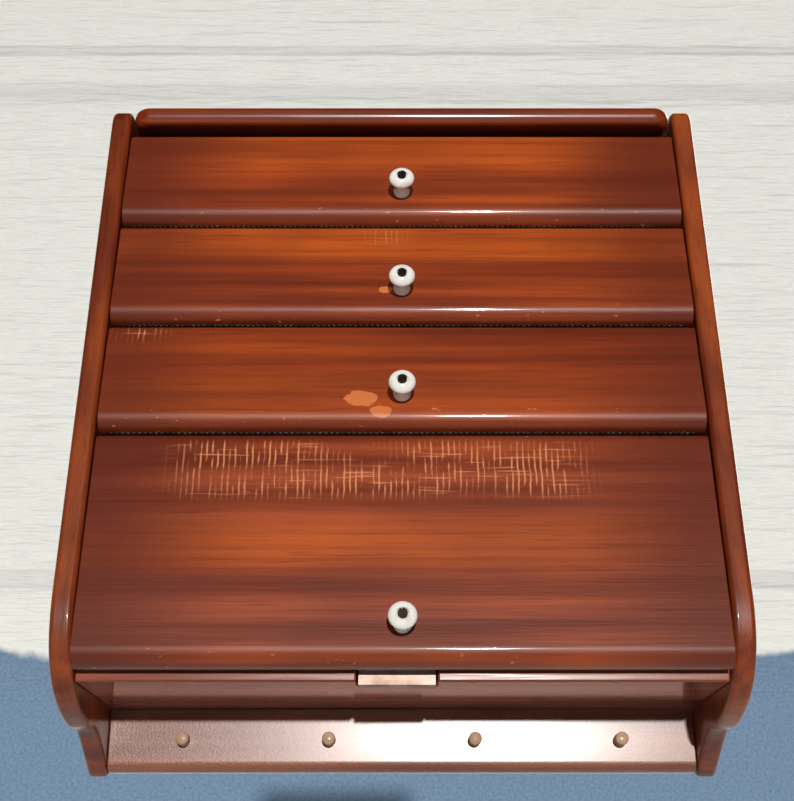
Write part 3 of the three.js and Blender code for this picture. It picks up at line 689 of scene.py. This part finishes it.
# Pieces that keep the frame's own shape
kept = {
    "catch_case": aluminium, "catch_magnet": magnet,
    "catch_pole_lower": steel, "catch_pole_upper": steel,
    "catch_screw_left": steel, "catch_screw_right": steel,
    "strike_plate": steel, "strike_screw": steel, "strike_block": interior,
    "rod_socket_left": interior, "rod_socket_right": interior,
}
for name, material in kept.items():
    frame["nodes"][name].data.materials.clear()
    frame["nodes"][name].data.materials.append(material)
print("rod and catch", flush=True)

# Surroundings, in metres: a grooved pale wall that sweeps into the floor, with a patch of blue cloth; the
# grooves are darkened with painted shade
backdrop = {
    "grooves": ((2.056, 0.022), (1.9, 0.05), (0.373, 0.035)), "clothHeight": (-0.32, 0.245), "clothHalf": 1.5,
    "width": 12, "near": -5, "far": 1.8, "ground": -1.3, "sweep": 0.9, "high": 4.5,
}


def paleWall():
    graph = Graph("paleWall")
    height = graph.axis("Z")
    relief = graph.noise((3.5, 3.5, 34), (0, 0, 4), 5.0)
    grooves = 0.0
    for level, half in backdrop["grooves"]:
        grooves = 1 - ((height - level).size() / half).step(0.2, 1.0) + grooves
    ragged = height + graph.noise((5, 5, 5), (1, 1, 1), 4.0) * 0.12
    low, high = backdrop["clothHeight"]
    cloth = (1 - ragged.step(high - 0.025, high)) * ragged.step(low, low + 0.06)
    cloth = cloth * (1 - graph.axis("X").size().step(backdrop["clothHalf"], backdrop["clothHalf"] + 0.1))
    # The grey mixed into each groove is painted shade: the white wall colour is darkened where shade falls in
    # the grooves, on top of their bump
    wallPaintAndGrooveShade = graph.mix(grooves * 0.22, tone(222, 223, 219), tone(150, 152, 154))
    weave = graph.noise((130, 130, 130), (1, 2, 3), 3.0)
    blue = graph.mix(weave, tone(70, 96, 124), tone(124, 150, 176))
    graph.bump((relief - grooves * 0.4) * height.step(-0.1, 0.3), 0.06)
    return graph.finish(**{"Base Color": graph.mix(cloth, wallPaintAndGrooveShade, blue), "Roughness": 0.85})


ground, sweep = backdrop["ground"], backdrop["sweep"]
curve = arc((backdrop["far"], ground + sweep), sweep, -90, 0, 16)
line = [(backdrop["near"], ground)] + curve + [(backdrop["far"] + sweep, backdrop["high"])]
ends = (-backdrop["width"] / 2, backdrop["width"] / 2)
vertices = [(x * 1000, y * 1000, z * 1000) for x in ends for y, z in line]
count = len(line)
faces = [(n, n + 1, count + n + 1, count + n) for n in range(count - 1)]
wall = newObject("backdrop", vertices, faces, Matrix.Identity(4), 60)
wall.data.materials.append(paleWall())

middle = (0, -0.05, -0.18)


def lamp(name, kind, energy, position, colour, **settings):
    data = bpy.data.lights.new(name, kind)
    data.energy = energy
    data.color = colour
    for key, value in settings.items():
        setattr(data, key, value)
    made = bpy.data.objects.new(name, data)
    made.location = Vector(position)
    made.rotation_euler = (Vector(middle) - Vector(position)).to_track_quat("-Z", "Y").to_euler()
    scene.collection.objects.link(made)
    return made


def skyPanel(name, energy, position, colour, width, height):
    panel = lamp(name, "AREA", energy, position, colour, shape="RECTANGLE", size=width, size_y=height)
    panel.visible_camera = False
    return panel


lamp("key", "SUN", 3.0, (0.17, -3.0, 0.05), (1.0, 0.97, 0.93), angle=math.radians(1.5))
skylight = skyPanel("skylight", 22, (-0.3, -1.2, 1.9), (0.92, 0.96, 1.0), 2.4, 1.4)
skylight.visible_glossy = False
skyPanel("rearFill", 26, (0.9, 1.5, 0.7), (0.98, 0.98, 1.0), 1.6, 1.2)
world = bpy.data.worlds.new("surround")
scene.world = world
world.use_nodes = True
background = world.node_tree.nodes["Background"]
background.inputs["Color"].default_value = (0.6, 0.62, 0.62, 1.0)
background.inputs["Strength"].default_value = 1.0
world.cycles_visibility.diffuse = False
world.cycles_visibility.glossy = False
scene.view_settings.view_transform = "Standard"

view = {"sensor": 36, "lens": 60.7, "place": (-0.003, -0.8502, -0.4697), "tilt": 110.9}
lens = bpy.data.cameras.new("camera")
lens.sensor_width = view["sensor"]
lens.lens = view["lens"]
camera = bpy.data.objects.new("camera", lens)
camera.location = view["place"]
camera.rotation_euler = (math.radians(view["tilt"]), 0, 0)
scene.collection.objects.link(camera)
scene.camera = camera
print("surroundings", flush=True)
